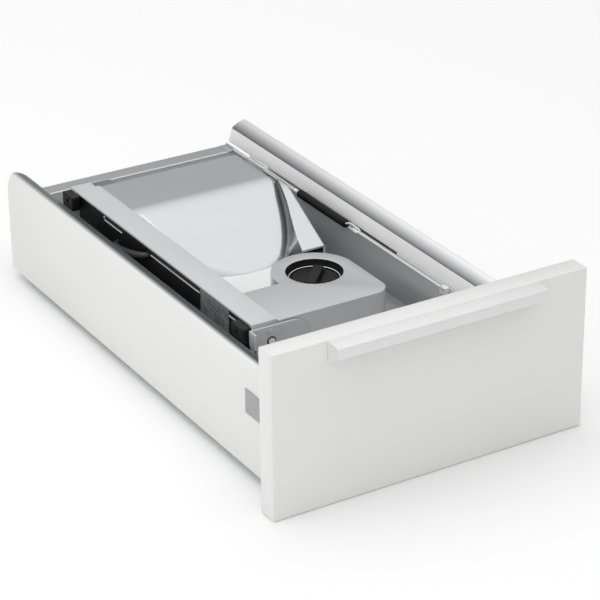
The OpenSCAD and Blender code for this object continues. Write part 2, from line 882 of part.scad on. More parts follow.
// Blade gear and shaft in one piece; the blade is screwed to its lower end.
module blade_gear() {
    color("ivory") difference() {
        union() {
            translate([blade_x, at_y(blade_y), gear_z]) gear(blade_teeth, 0);
            post(blade_x, blade_y, [blade_z, gear_z + gear_w], shaft_r);
            post(blade_x, blade_y, [blade_z, chassis_z - 0.3], blade_hub_r);
        }
        for (a = [0:120:240]) blade_screw_hole(a, [blade_z - cut, blade_z + 0.8]);
    }
}

module blade_screw_hole(a, z) {
    translate([blade_screw_circle * cos(a), blade_screw_circle * sin(a), 0])
        post(blade_x, blade_y, z, blade_screw_r);
}

edge_w = 6;

// Round blade with its bevel ground from below.
module blade() {
    color("silver") difference() {
        translate([blade_x, at_y(blade_y), blade_z - blade_t]) rotate_extrude($fn = 128)
            polygon([[0, 0], [blade_r - edge_w, 0], [blade_r, blade_t - 0.3], [blade_r, blade_t],
                [0, blade_t]]);
        for (a = [0:120:240]) blade_screw_hole(a, [blade_z - blade_t - cut, blade_z + cut]);
    }
}

module blade_screws() {
    color("lightgray") for (a = [0:120:240])
        translate([blade_screw_circle * cos(a), blade_screw_circle * sin(a), 0]) {
            post(blade_x, blade_y, [blade_z - blade_t, blade_z + 0.7], blade_screw_r);
            post(blade_x, blade_y, [blade_z - blade_t - 1.5, blade_z - blade_t], 2.8);
        }
}

// Plan of the adjuster housing with the round lobe about the knob, w inside its outer face.
module adjust_plan(w) {
    left = base_right + (w > 0 ? w : 0);
    front = at_y(adjust_front) + w;
    back = at_y(adjust_front + adjust_len) - w;
    right = adjust_x - w;
    r = adjust_corner - w;
    translate([left, front]) square([right - r - left, back - front]);
    translate([left, front + r]) square([right - left, back - front - r]);
    translate([right - r, front + r]) circle(r = r);
    translate([knob_x, at_y(knob_y)]) circle(r = lobe_r - w, $fn = 96);
}

// Rod along the switch button's axis, which passes through the housing's right wall.
module button_rod(x, r) {
    translate([x[0], at_y(button_y), button_z]) rotate([0, 90, 0])
        cylinder(h = x[1] - x[0], r = r);
}

module adjuster_housing() {
    color("silver") difference() {
        union() {
            difference() {
                translate([0, 0, adjust_low]) linear_extrude(adjust_h) adjust_plan(0);
                translate([0, 0, adjust_low - cut])
                    linear_extrude(adjust_h - adjust_wall + cut) adjust_plan(adjust_wall);
            }
            post(knob_x, knob_y, [adjust_top - recess_h - cup_floor, adjust_top - cut],
                recess_r + adjust_wall);
            for (p = post_places)
                post(p[0], p[1], [adjust_low + 2, adjust_top - cut], post_r + 2);
        }
        post(knob_x, knob_y, [adjust_top - recess_h, adjust_top + cut], recess_r);
        post(knob_x, knob_y, [adjust_low, adjust_top], knob_shaft_r + knob_play);
        for (p = post_places)
            post(p[0], p[1], [adjust_low, adjust_top - adjust_wall], post_r + post_play);
        button_rod([adjust_x - adjust_wall - cut, adjust_x + cut], button_r + button_play);
    }
}

module recess_ring() {
    color("silver") difference() {
        post(knob_x, knob_y, [adjust_top - recess_h, knob_face_z], recess_r);
        post(knob_x, knob_y, [adjust_top - recess_h - cut, knob_face_z + cut], knob_r + 0.4);
    }
}

module thickness_knob() {
    color("black") union() {
        post(knob_x, knob_y, [knob_face_z - knob_t, knob_face_z - 1], knob_r);
        post(knob_x, knob_y, [adjust_low + 1, knob_face_z - knob_t], knob_shaft_r);
        translate([knob_x, at_y(knob_y), knob_face_z - 1]) rotate([0, 0, grip_turn])
            translate([-knob_r + 2, -grip_w / 2, 0]) cube([2 * knob_r - 4, grip_w, 5]);
    }
}

// The plate the food slides along; its two posts run in the adjuster housing.
module stop_plate() {
    color("gray") union() {
        difference() {
            block([base_right + 1.5, stop_x], [stop_front, rib_front - stop_back_gap],
                [stop_top - stop_t, stop_top]);
            post(blade_x, blade_y, [stop_top - stop_t - cut, stop_top + cut], blade_r + stop_gap);
        }
        for (p = post_places) post(p[0], p[1], [stop_top - 1, post_top], post_r);
    }
}

module switch_button() {
    color("black") union() {
        button_rod([adjust_x - adjust_wall - 1, adjust_x + 3.5], button_r);
        button_rod([adjust_x - adjust_wall - 2, adjust_x - adjust_wall - 0.2], button_r + 1);
    }
}

module carriage_table() {
    inner = [table_front + knuckle_len + 0.4, table_front + table_len - knuckle_len - 0.4];
    color("lightgray") difference() {
        union() {
            block([hinge_x + 3.6, hinge_x + table_w], [table_front, table_front + table_len],
                [hinge_z - table_t / 2, hinge_z + table_t / 2]);
            block([hinge_x, hinge_x + 4], inner, [hinge_z - table_t / 2, hinge_z + table_t / 2]);
            rod(hinge_x, inner, hinge_z, knuckle_r);
            for (x = guide_lines()) block([x, x + guide_w], [table_front, table_front + table_len],
                [hinge_z + table_t / 2 - 0.5, hinge_z + table_t / 2 + guide_h]);
        }
        rod(hinge_x, [table_front - cut, table_front + table_len + cut], hinge_z,
            hinge_pin_r + hinge_play);
    }
}

function guide_lines() = [tray_left + 12, tray_left + tray_w - 12 - guide_w];

module table_hinge_pin() {
    color("lightgray") rod(hinge_x, [table_front, table_front + table_len], hinge_z, hinge_pin_r);
}

// The food carriage: a tray that runs along the table, with a back wall and an end wall.
module food_carriage() {
    color("gainsboro") difference() {
        union() {
            block([tray_left, tray_left + tray_w], [tray_front, tray_front + tray_len],
                [tray_z, tray_z + tray_t + guide_h]);
            block([tray_left + tray_w - tray_t, tray_left + tray_w],
                [tray_front, tray_front + tray_len], [tray_z, tray_z + tray_h]);
            block([tray_left, tray_left + tray_w], [tray_front, tray_front + tray_t],
                [tray_z, tray_z + tray_h]);
        }
        for (x = guide_lines()) block([x - guide_play, x + guide_w + guide_play],
            [tray_front - cut, tray_front + tray_len + cut],
            [tray_z - cut, hinge_z + table_t / 2 + guide_h + guide_play]);
    }
}

cabinet_rail(-1);  // cabinet_rail_left
cabinet_rail(1);  // cabinet_rail_right
middle_rail(-1);  // middle_rail_left
middle_rail(1);  // middle_rail_right
drawer_rail(-1);  // drawer_rail_left
drawer_rail(1);  // drawer_rail_right
side(-1);  // side_left
side(1);  // side_right
inner_skin(-1);  // inner_skin_left
inner_skin(1);  // inner_skin_right
floor_panel();
rear_panel();
rear_lip();
rear_corners();
front_panel();
handle();
front_fixings();
fixing_screws();
side_caps();
front_bracket();
rear_bracket();
fold_pins();
fold_bushes();
bracket_rivets();
lock_plunger();
guide_strip();
balance_spring();
spring_ends();
front_rod();
rear_rod();
rod_anchor();
rod_clip();
base_frame();
base_cover();
base_feet();
rating_plate();
base_trim();
mains_lead();
lead_gland();
motor_housing();
housing_chassis();
gear_motor();
motor_pinion();
idler_gear();
idler_pin();
blade_gear();
blade();
blade_screws();
adjuster_housing();
recess_ring();
thickness_knob();
stop_plate();
switch_button();
carriage_table();
table_hinge_pin();
food_carriage();
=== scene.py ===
import json
import math

import bpy
from mathutils import Matrix, Vector

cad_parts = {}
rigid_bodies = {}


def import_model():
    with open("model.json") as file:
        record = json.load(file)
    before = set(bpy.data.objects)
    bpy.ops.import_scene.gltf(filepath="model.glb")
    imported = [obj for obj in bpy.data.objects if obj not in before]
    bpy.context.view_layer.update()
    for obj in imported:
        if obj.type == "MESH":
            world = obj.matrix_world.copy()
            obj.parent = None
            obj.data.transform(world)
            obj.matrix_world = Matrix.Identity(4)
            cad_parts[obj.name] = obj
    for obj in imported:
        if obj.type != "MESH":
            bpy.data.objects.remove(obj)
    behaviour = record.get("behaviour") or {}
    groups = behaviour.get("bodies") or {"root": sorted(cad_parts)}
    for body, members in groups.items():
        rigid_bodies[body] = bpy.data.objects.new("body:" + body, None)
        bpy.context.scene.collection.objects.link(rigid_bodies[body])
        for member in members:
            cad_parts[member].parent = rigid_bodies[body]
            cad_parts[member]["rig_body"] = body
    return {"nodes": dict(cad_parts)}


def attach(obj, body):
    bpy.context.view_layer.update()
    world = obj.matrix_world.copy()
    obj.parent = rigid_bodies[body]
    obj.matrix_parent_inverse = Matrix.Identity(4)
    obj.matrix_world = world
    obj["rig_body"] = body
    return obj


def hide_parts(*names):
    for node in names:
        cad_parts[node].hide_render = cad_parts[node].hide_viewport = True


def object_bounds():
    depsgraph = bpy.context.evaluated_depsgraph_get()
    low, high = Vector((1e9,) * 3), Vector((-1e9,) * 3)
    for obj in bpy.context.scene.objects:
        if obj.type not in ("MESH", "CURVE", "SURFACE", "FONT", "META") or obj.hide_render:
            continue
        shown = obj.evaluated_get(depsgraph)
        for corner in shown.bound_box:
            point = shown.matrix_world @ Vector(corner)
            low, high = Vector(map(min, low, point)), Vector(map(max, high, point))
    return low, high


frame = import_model()
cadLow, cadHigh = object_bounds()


# millimetres to metres
def mm(*values):
    return Vector(values) / 1000 if len(values) > 1 else values[0] / 1000


def deselectAll():
    for other in bpy.context.view_layer.objects:
        other.select_set(False)


def makeActive(piece):
    deselectAll()
    piece.select_set(True)
    bpy.context.view_layer.objects.active = piece
    return piece


def bodyOf(node):
    return frame["nodes"][node]["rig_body"]


# put the place, turn and size of an object into its mesh
def settle(piece):
    makeActive(piece)
    bpy.ops.object.transform_apply(location=True, rotation=True, scale=True)
    return piece


def cleanNormals(piece, merge=0.00001):
    makeActive(piece)
    bpy.ops.object.mode_set(mode="EDIT")
    bpy.ops.mesh.select_all(action="SELECT")
    bpy.ops.mesh.remove_doubles(threshold=merge)
    bpy.ops.mesh.normals_make_consistent(inside=False)
    bpy.ops.object.mode_set(mode="OBJECT")
    return piece


def applyModifier(piece, kind, **settings):
    makeActive(piece)
    modifier = piece.modifiers.new(kind.lower(), kind)
    for key, value in settings.items():
        setattr(modifier, key, value)
    bpy.ops.object.modifier_apply(modifier=modifier.name)
    return piece


# rounds every edge that is sharper than the angle, with a radius in millimetres
def roundEdges(piece, radius, steps, angle=38):
    return applyModifier(piece, "BEVEL", width=radius / 1000, segments=steps, limit_method="ANGLE",
                         angle_limit=math.radians(angle), use_clamp_overlap=True)


# joins the other pieces into the first
def joinPieces(first, *others):
    deselectAll()
    for piece in (*others, first):
        piece.select_set(True)
    bpy.context.view_layer.objects.active = first
    bpy.ops.object.join()
    return first


# names a piece, smooths it, gives it its finish, and lets it ride on its body
def finishPiece(piece, name, body, finish, stands=(), smooth=32):
    settle(piece)
    piece.name = name
    piece.data.name = name
    if smooth:
        bpy.ops.object.shade_smooth_by_angle(angle=math.radians(smooth))
    if finish is not None:
        piece.data.materials.clear()
        piece.data.materials.append(finish)
    deselectAll()
    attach(piece, body)
    if stands:
        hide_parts(*stands)
    return piece


# bevels the edges whose two ends pass the test, given in millimetres
def bevelWhere(piece, test, width, segments=3):
    makeActive(piece)
    bpy.ops.object.mode_set(mode="EDIT")
    bpy.ops.mesh.select_mode(type="EDGE")
    bpy.ops.mesh.select_all(action="DESELECT")
    bpy.ops.object.mode_set(mode="OBJECT")
    points = piece.data.vertices
    picked = 0
    for edge in piece.data.edges:
        a, b = (points[i].co * 1000 for i in edge.vertices)
        edge.select = bool(test(a, b))
        picked += edge.select
    bpy.ops.object.mode_set(mode="EDIT")
    if picked:
        bpy.ops.mesh.bevel(offset=width / 1000, segments=segments, profile=0.5, affect="EDGES",
                           clamp_overlap=True)
    bpy.ops.object.mode_set(mode="OBJECT")
    return picked


# a merged copy of a CAD node's mesh, with its flat faces joined up
def copyOfNode(node):
    source = frame["nodes"][node]
    piece = bpy.data.objects.new(node + "Copy", source.data.copy())
    bpy.context.scene.collection.objects.link(piece)
    makeActive(piece)
    bpy.ops.object.mode_set(mode="EDIT")
    bpy.ops.mesh.select_all(action="SELECT")
    bpy.ops.mesh.remove_doubles(threshold=0.00002)
    bpy.ops.mesh.dissolve_limited(angle_limit=math.radians(1.0), delimit=set())
    bpy.ops.mesh.normals_make_consistent(inside=False)
    bpy.ops.object.mode_set(mode="OBJECT")
    return piece


# a round wire through the points, in millimetres, made a mesh
def wire(name, points, radius):
    curve = bpy.data.curves.new(name, "CURVE")
    curve.dimensions = "3D"
    curve.bevel_depth = radius / 1000
    curve.bevel_resolution = 2
    curve.resolution_u = 8
    curve.use_fill_caps = True
    spline = curve.splines.new("BEZIER")
    spline.bezier_points.add(len(points) - 1)
    for knot, place in zip(spline.bezier_points, points):
        knot.co = mm(*place)
        knot.handle_left_type = knot.handle_right_type = "AUTO"
    piece = bpy.data.objects.new(name, curve)
    bpy.context.scene.collection.objects.link(piece)
    makeActive(piece)
    bpy.ops.object.convert(target="MESH")
    return cleanNormals(bpy.context.view_layer.objects.active)


# an sRGB hex value as linear red, green, blue, alpha
def linearColour(hexColour):
    parts = [int(hexColour[i:i + 2], 16) / 255 for i in (1, 3, 5)]
    return tuple(p / 12.92 if p <= 0.04045 else ((p + 0.055) / 1.055) ** 2.4 for p in parts) + (1.0,)


# settings name a property of the node, or one of its sockets by name or number
def addNode(tree, kind, settings=None, links=None):
    node = tree.nodes.new(kind)
    for key, value in (settings or {}).items():
        if isinstance(key, str) and hasattr(node, key):
            setattr(node, key, value)
        else:
            node.inputs[key].default_value = value
    for key, source in (links or {}).items():
        tree.links.new(source, node.inputs[key])
    return node


# a material with its shader, and the object coordinates that its patterns read
def newFinish(name, colour, **shader):
    finish = bpy.data.materials.new(name)
    finish.use_nodes = True
    tree = finish.node_tree
    body = tree.nodes["Principled BSDF"]
    body.inputs["Base Color"].default_value = linearColour(colour)
    for key, value in shader.items():
        body.inputs[key.replace("_", " ")].default_value = value
    place = addNode(tree, "ShaderNodeTexCoord").outputs["Object"]
    return finish, tree, body, place


# a pattern drives the colour and the roughness, and a relief in millimetres drives the bump
def dress(tree, body, pattern, colours, rough, relief, depth):
    tint = addNode(tree, "ShaderNodeMix", {"data_type": "RGBA", 6: linearColour(colours[0]),
                                           7: linearColour(colours[1])}, {0: pattern})
    gloss = addNode(tree, "ShaderNodeMapRange", {"To Min": rough[0], "To Max": rough[1]}, {"Value": pattern})
    bump = addNode(tree, "ShaderNodeBump", {"Distance": depth / 1000}, {"Height": relief})
    tree.links.new(tint.outputs[2], body.inputs["Base Color"])
    tree.links.new(gloss.outputs["Result"], body.inputs["Roughness"])
    tree.links.new(bump.outputs["Normal"], body.inputs["Normal"])


# sprayed or powder-coated sheet: orange peel of that many millimetres, and a faint cloudiness
def coatedFinish(name, colour, shade, peel=1.6, peelDepth=0.02, rough=(0.36, 0.46), **shader):
    finish, tree, body, place = newFinish(name, colour, **shader)
    dimples = addNode(tree, "ShaderNodeTexNoise", {"Scale": 1000 / peel, "Detail": 2.0}, {"Vector": place})
    cloud = addNode(tree, "ShaderNodeTexNoise", {"Scale": 1000 / 70, "Detail": 3.0}, {"Vector": place})
    dress(tree, body, cloud.outputs["Fac"], (shade, colour), rough, dimples.outputs["Fac"], peelDepth)
    return finish


# metal brushed along one axis: hair lines about 0.35 mm apart and 60 mm long under a soft haze
def brushedFinish(name, colour, shade, along, rough=(0.26, 0.42), depth=0.006, metallic=1.0, **shader):
    finish, tree, body, place = newFinish(name, colour, Metallic=metallic, **shader)
    lengths = {"x": (60, 0.35, 0.35), "y": (0.35, 60, 0.35), "z": (0.35, 0.35, 60)}[along]
    drawn = addNode(tree, "ShaderNodeMapping", {"Scale": tuple(1000 / size for size in lengths)},
                    {"Vector": place})
    hair = addNode(tree, "ShaderNodeTexNoise", {"Scale": 1.0, "Detail": 4.0},
                   {"Vector": drawn.outputs["Vector"]})
    haze = addNode(tree, "ShaderNodeTexNoise", {"Scale": 1000 / 35, "Detail": 2.0}, {"Vector": place})
    both = addNode(tree, "ShaderNodeMix", {"data_type": "FLOAT", 0: 0.45},
                   {2: hair.outputs["Fac"], 3: haze.outputs["Fac"]})
    dress(tree, body, both.outputs[0], (shade, colour), rough, hair.outputs["Fac"], depth)
    return finish


# brushed rail top with painted shade and a painted highlight: its tone changes across it, at four distances
# from the middle plane in millimetres
def shadedCrestFinish(name, paintedHighlightColour, paintedShadeColour, outerColour, steps):
    finish, tree, body, place = newFinish(name, outerColour, Metallic=0.35)
    parts = addNode(tree, "ShaderNodeSeparateXYZ", None, {"Vector": place})
    across = addNode(tree, "ShaderNodeMath", {"operation": "ABSOLUTE"}, {0: parts.outputs["X"]})
    inner = addNode(tree, "ShaderNodeMapRange", {"From Min": steps[0] / 1000, "From Max": steps[1] / 1000},
                    {"Value": across.outputs[0]})
    outer = addNode(tree, "ShaderNodeMapRange", {"From Min": steps[2] / 1000, "From Max": steps[3] / 1000},
                    {"Value": across.outputs[0]})
    first = addNode(tree, "ShaderNodeMix", {"data_type": "RGBA", 6: linearColour(paintedHighlightColour),
                                            7: linearColour(paintedShadeColour)}, {0: inner.outputs["Result"]})
    both = addNode(tree, "ShaderNodeMix", {"data_type": "RGBA", 7: linearColour(outerColour)},
                   {0: outer.outputs["Result"], 6: first.outputs[2]})
    drawn = addNode(tree, "ShaderNodeMapping", {"Scale": (2800, 17, 2800)}, {"Vector": place})
    hair = addNode(tree, "ShaderNodeTexNoise", {"Scale": 1.0, "Detail": 4.0},
                   {"Vector": drawn.outputs["Vector"]})
    gloss = addNode(tree, "ShaderNodeMapRange", {"To Min": 0.34, "To Max": 0.46},
                    {"Value": hair.outputs["Fac"]})
    bump = addNode(tree, "ShaderNodeBump", {"Distance": 0.000004}, {"Height": hair.outputs["Fac"]})
    tree.links.new(both.outputs[2], body.inputs["Base Color"])
    tree.links.new(gloss.outputs["Result"], body.inputs["Roughness"])
    tree.links.new(bump.outputs["Normal"], body.inputs["Normal"])
    return finish


# moulded plastic or rubber: an even spark-eroded grain, slightly polished where it is touched
def mouldedFinish(name, colour, shade, grain=0.7, depth=0.03, rough=(0.38, 0.5), **shader):
    finish, tree, body, place = newFinish(name, colour, **shader)
    spark = addNode(tree, "ShaderNodeTexVoronoi", {"Scale": 1000 / grain}, {"Vector": place})
    rubbed = addNode(tree, "ShaderNodeTexNoise", {"Scale": 1000 / 18, "Detail": 3.0}, {"Vector": place})
    dress(tree, body, rubbed.outputs["Fac"], (shade, colour), rough, spark.outputs["Distance"], depth)
    return finish


# silver lacquer: aluminium flakes, drawn coarser than real so that they show, under a soft sheen; walls that
# face left can carry a painted dark reflection
def metallicPaint(name, colour, shade, metallic=0.6, rough=(0.3, 0.38), flake=0.5, depth=0.004,
                  paintedReflectionHex=None, **shader):
    finish, tree, body, place = newFinish(name, colour, Metallic=metallic, **shader)
    flakes = addNode(tree, "ShaderNodeTexVoronoi", {"Scale": 1000 / flake}, {"Vector": place})
    grey = addNode(tree, "ShaderNodeSeparateColor", None, {"Color": flakes.outputs["Color"]})
    flow = addNode(tree, "ShaderNodeTexNoise", {"Scale": 1000 / 45, "Detail": 2.0}, {"Vector": place})
    both = addNode(tree, "ShaderNodeMix", {"data_type": "FLOAT", 0: 0.6},
                   {2: grey.outputs[0], 3: flow.outputs["Fac"]})
    dress(tree, body, both.outputs[0], (shade, colour), rough, grey.outputs[0], depth)
    if paintedReflectionHex:
        # painted reflection: walls that face left are drawn darker, for the dark valley that they mirror
        coordinates = next(node for node in tree.nodes if node.type == "TEX_COORD")
        facing = addNode(tree, "ShaderNodeSeparateXYZ", None, {"Vector": coordinates.outputs["Normal"]})
        paintedReflectionMask = addNode(tree, "ShaderNodeMapRange", {"From Min": -0.3, "From Max": -0.85},
                        {"Value": facing.outputs["X"]})
        tinted = addNode(tree, "ShaderNodeMix", {"data_type": "RGBA", 7: linearColour(paintedReflectionHex)},
                         {0: paintedReflectionMask.outputs["Result"], 6: body.inputs["Base Color"].links[0].from_socket})
        tree.links.new(tinted.outputs[2], body.inputs["Base Color"])
    return finish


# ground steel disc: fine rings about 0.5 mm apart round its centre, given in millimetres
def spunFinish(name, colour, shade, centre, rough=(0.36, 0.44), metallic=1.0):
    finish, tree, body, place = newFinish(name, colour, Metallic=metallic)
    moved = addNode(tree, "ShaderNodeMapping", {"Location": (-centre[0] / 1000, -centre[1] / 1000, 0)},
                    {"Vector": place})
    parts = addNode(tree, "ShaderNodeSeparateXYZ", None, {"Vector": moved.outputs["Vector"]})
    flat = addNode(tree, "ShaderNodeCombineXYZ", None, {"X": parts.outputs["X"], "Y": parts.outputs["Y"]})
    reach = addNode(tree, "ShaderNodeVectorMath", {"operation": "LENGTH"}, {0: flat.outputs[0]})
    rings = addNode(tree, "ShaderNodeTexNoise", {"noise_dimensions": "1D", "Scale": 2000.0, "Detail": 4.0},
                    {"W": reach.outputs["Value"]})
    dress(tree, body, rings.outputs["Fac"], (shade, colour), rough, rings.outputs["Fac"], 0.0008)
    return finish


# printed foil: broken rows of short dark bars and a few ruled boxes, no lettering
def foilFinish(name, ground, print1, print2, line):
    finish, tree, body, place = newFinish(name, ground, Roughness=0.42)
    parts = addNode(tree, "ShaderNodeSeparateXYZ", None, {"Vector": place})
    across = addNode(tree, "ShaderNodeCombineXYZ", None, {"X": parts.outputs["Y"], "Y": parts.outputs["Z"]})
    bars = addNode(tree, "ShaderNodeTexBrick",
                   {"offset": 0.37, "Scale": 1.0, "Mortar Size": 0.0008, "Brick Width": 0.0043,
                    "Row Height": 0.0026, "Color1": linearColour(print1), "Color2": linearColour(print2),
                    "Mortar": linearColour(ground)},
                   {"Vector": across.outputs[0]})
    gaps = addNode(tree, "ShaderNodeTexNoise", {"Scale": 1000 / 11, "Detail": 1.0}, {"Vector": place})
    kept = addNode(tree, "ShaderNodeMapRange", {"From Min": 0.56, "From Max": 0.6},
                   {"Value": gaps.outputs["Fac"]})
    printing = addNode(tree, "ShaderNodeMix", {"data_type": "RGBA", 7: linearColour(ground)},
                   {0: kept.outputs["Result"], 6: bars.outputs["Color"]})
    boxes = addNode(tree, "ShaderNodeTexBrick",
                    {"offset": 0.0, "Scale": 1.0, "Mortar Size": 0.0003, "Brick Width": 0.0163,
                     "Row Height": 0.0086, "Color1": (0, 0, 0, 1), "Color2": (0, 0, 0, 1),
                     "Mortar": (1, 1, 1, 1)},
                    {"Vector": across.outputs[0]})
    drawn = addNode(tree, "ShaderNodeMix", {"data_type": "RGBA", 7: linearColour(line)},
                    {0: boxes.outputs["Color"], 6: printing.outputs[2]})
    tree.links.new(drawn.outputs[2], body.inputs["Base Color"])
    return finish


# powder-coated steel: bright, even, faintly dimpled
whiteCoat = coatedFinish("powderCoatedSteelWhite", "#F1F1F0", "#ECECEB", peel=1.8, rough=(0.42, 0.52))
# lacquered board: smoother and a little glossier than the steel beside it
whiteLacquer = coatedFinish("lacqueredBoardWhite", "#EFEFEE", "#EBEBEA", peel=3.0, peelDepth=0.012,
                            rough=(0.26, 0.34), Coat_Weight=0.15, Coat_Roughness=0.1)
# grey powder coat of the inner skins
greyCoat = coatedFinish("powderCoatedSteelGrey", "#D6D7D9", "#CFD0D2", rough=(0.3, 0.38), Metallic=0.45)
# melamine-faced board: matt, with a fine dry grain
greyBoard = coatedFinish("melamineFacedBoardGrey", "#CDCED0", "#C3C4C6", peel=0.9, peelDepth=0.03,
                         rough=(0.5, 0.62))
# grey edging of the rear board, matt and slightly darker than the board
edgingGrey = coatedFinish("matEdgingGrey", "#A2A3A5", "#9A9B9D", peel=1.2, rough=(0.5, 0.6))
# satin rail top: brushed sheet whose tone across it is painted light and shade: painted shade along its
# rolled crest, a painted highlight at its inner edge, and paler towards the outer edge, placed apart for
# each side's light
shadedRailTop = {
    "side_left": shadedCrestFinish("satinSteelRailTopLeftPaintedShade", "#E6E7E8", "#55565A", "#E6E7E7",
                             (109.2, 111.2, 119.0, 124.4)),
    "side_right": shadedCrestFinish("satinSteelRailTopRightPaintedShade", "#DFE0E1", "#77787B", "#EFEFEF",
                              (109.2, 109.9, 110.5, 121.0)),
}
# lacquered aluminium handle: satin, near white, faint lines along its length
handleMetal = brushedFinish("lacqueredAluminiumHandle", "#F0F0F0", "#E6E6E6", "x", rough=(0.5, 0.6),
                            metallic=0.15)
# brushed steel brackets, upright grain, slightly cloudy
bracketMetal = brushedFinish("brushedSteelBracket", "#CDCECF", "#B9BABC", "z", rough=(0.45, 0.6),
                             metallic=0.45)
# zinc-plated runners and fixings: greyish, slightly mottled
zincMetal = brushedFinish("zincPlatedSteel", "#B4B8BC", "#9DA1A6", "y", rough=(0.35, 0.5))
# polished wire and pins
brightMetal = brushedFinish("polishedSteelWire", "#F0F0F1", "#E2E3E4", "y", rough=(0.2, 0.3), depth=0.002,
                            metallic=0.5)
# anodised plates of the stop and the carriage table
plateMetal = brushedFinish("anodisedAluminiumPlate", "#B3B4B6", "#A3A4A7", "y", rough=(0.36, 0.48))
# galvanised motor can
motorMetal = brushedFinish("galvanisedMotorSteel", "#8E9093", "#77797C", "z", rough=(0.4, 0.55))
# blackened spring wire: dark with small oily highlights
springWire = brushedFinish("blackenedSpringSteel", "#1A1A1B", "#101011", "y", rough=(0.34, 0.46),
                           metallic=0.5)
# lacquered casting: satin silver, a faint cast unevenness
castSilver = metallicPaint("lacqueredAluminiumCasting", "#D4D5D6", "#CBCCCE", metallic=0.15,
                           rough=(0.5, 0.58), flake=0.8, depth=0.006)
# silver lacquered housing: smooth, reflects the studio softly; its walls that face left carry a painted dark
# reflection
housingSilver = metallicPaint("silverLacqueredHousing", "#D6D7D8", "#CFD0D2", metallic=0.85,
                              rough=(0.27, 0.33), flake=0.6, depth=0.0015, paintedReflectionHex="#55575B",
                              Coat_Weight=0.3, Coat_Roughness=0.12)
# grey satin lacquer of the adjuster
adjusterGrey = metallicPaint("satinGreyLacquer", "#D0D1D3", "#CACBCD", metallic=0.5, rough=(0.28, 0.34),
                             flake=0.6, depth=0.003)
# moulded blacks: mostly satin, the knob smoother and the rubber duller; the light trims are glossier
blackPlastic = mouldedFinish("mouldedPlasticBlack", "#161617", "#0F0F10")
knobPlastic = mouldedFinish("satinMouldedPlasticBlack", "#0C0C0D", "#080809", grain=0.9, depth=0.012,
                            rough=(0.4, 0.5), Specular_IOR_Level=0.3)
rubberBlack = mouldedFinish("mouldedRubberBlack", "#0E0E0F", "#09090A", depth=0.045, rough=(0.5, 0.65))
greyCap = mouldedFinish("mouldedPlasticLightGrey", "#A8A9AB", "#9FA0A2", depth=0.02, rough=(0.35, 0.45))
lightTrim = mouldedFinish("extrudedPlasticTrimLight", "#DADBDC", "#D0D1D3", depth=0.01, rough=(0.3, 0.4))
gearNylon = mouldedFinish("machinedNylon", "#E2DFD3", "#D6D2C4", depth=0.015, rough=(0.4, 0.5))
bladeCentre = (1.5, 89.0)
# ground stainless blade: near white, softly blurred reflections
bladeSteel = spunFinish("groundStainlessSteelBlade", "#FAFAFA", "#F2F3F3", bladeCentre, metallic=0.4)
# flexible sheath of the mains lead: dark grey with a soft sheen
leadSheath = mouldedFinish("flexibleSheathDarkGrey", "#3A3A3C", "#2E2E30", depth=0.02, rough=(0.3, 0.4))
# rating plate: grey foil with dark print
foilPlate = foilFinish("printedFoilPlate", "#808183", "#060607", "#1C1D1E", "#A0A1A3")
print("finishes made:", len(bpy.data.materials))


studio = {
    "azimuth": -30.6, "elevation": 26.13, "roll": -0.61, "distance": 2.203,
    "target": (0.0261, 0.0, 0.0439), "lens": 149.61,
    "floorSize": 16.0, "floorColour": "#FFFFFF",
    "skyTop": 1.16, "skySide": 0.26, "skyLow": 0.26, "skyHigh": 0.85,
    "keyPower": 5.0, "keyPlace": (-0.6, 0.5, 2.0), "keySize": 1.8,
    "frontPower": 7.0, "frontPlace": (-1.9, -2.0, 1.1), "frontSize": 1.8,
    "sidePower": 5.0, "sidePlace": (-2.4, 0.2, 1.3), "sideSize": 1.6,
}


